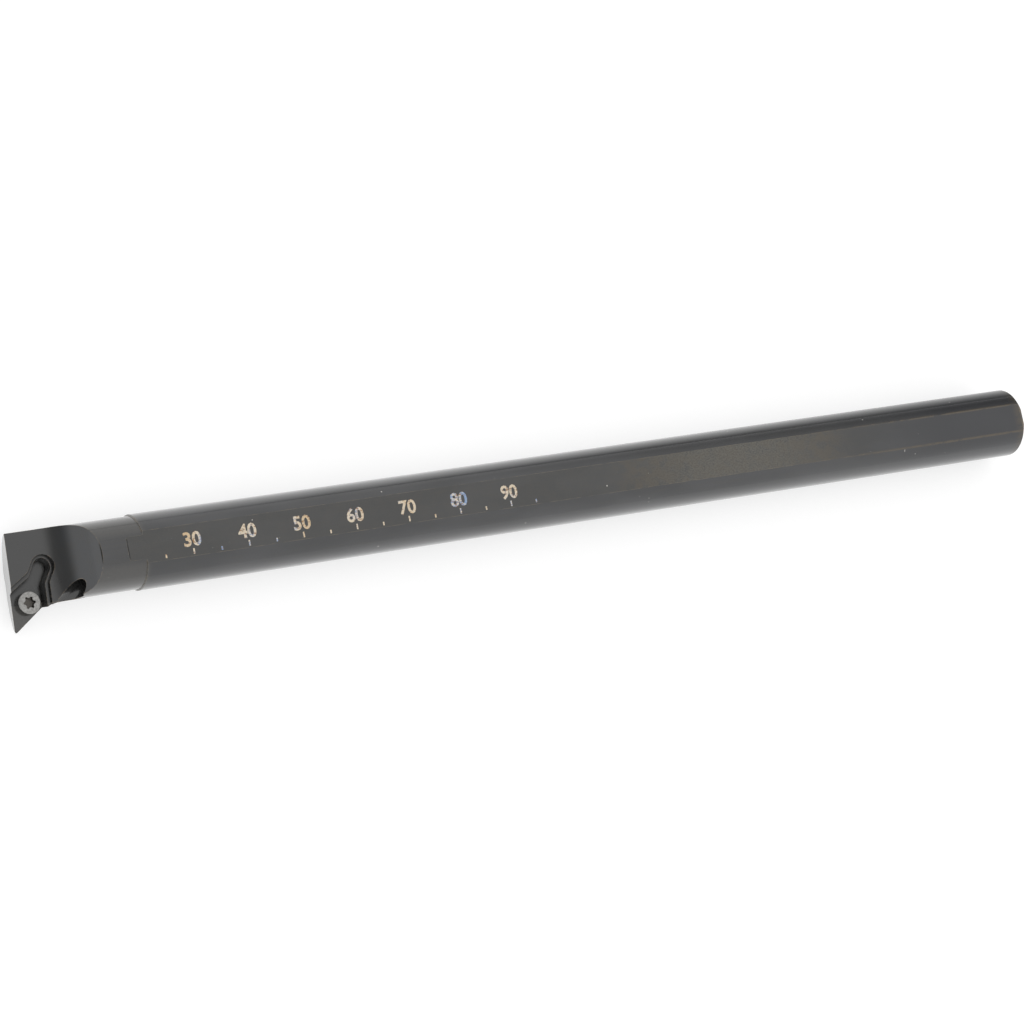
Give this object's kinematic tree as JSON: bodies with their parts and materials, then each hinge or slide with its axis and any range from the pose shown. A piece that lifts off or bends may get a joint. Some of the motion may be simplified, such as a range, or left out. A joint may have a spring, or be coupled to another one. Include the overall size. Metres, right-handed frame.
{
  "type": "boring bar",
  "caption": "Round steel boring bar with two clamping flats, a coolant passage, an empty pocket for a diamond insert and its clamp screw.",
  "frame": {"origin": "centre of the rear end face, at the mouth of the coolant bore", "axes": "+X along the bar to the cutting head, +Y to the side that the cutting tip stands out on, +Z out of the rake face and the upper clamping flat"},
  "size_m": [0.2036, 0.0162, 0.0122],
  "materials": {
    "black_steel": "ground steel, black oxide with a soft sheen",
    "screw_steel": "bright turned steel"
  },
  "bodies": {
    "bar": {"bar": "black_steel"},
    "clamp_screw": {"clamp_screw": "screw_steel"}
  },
  "joints": [
    {"name": "clamp_screw_lift", "type": "slide", "parent": "bar", "child": "clamp_screw", "axis": [0, 0, 1], "range_m": [0, 0.0036]}
  ]
}
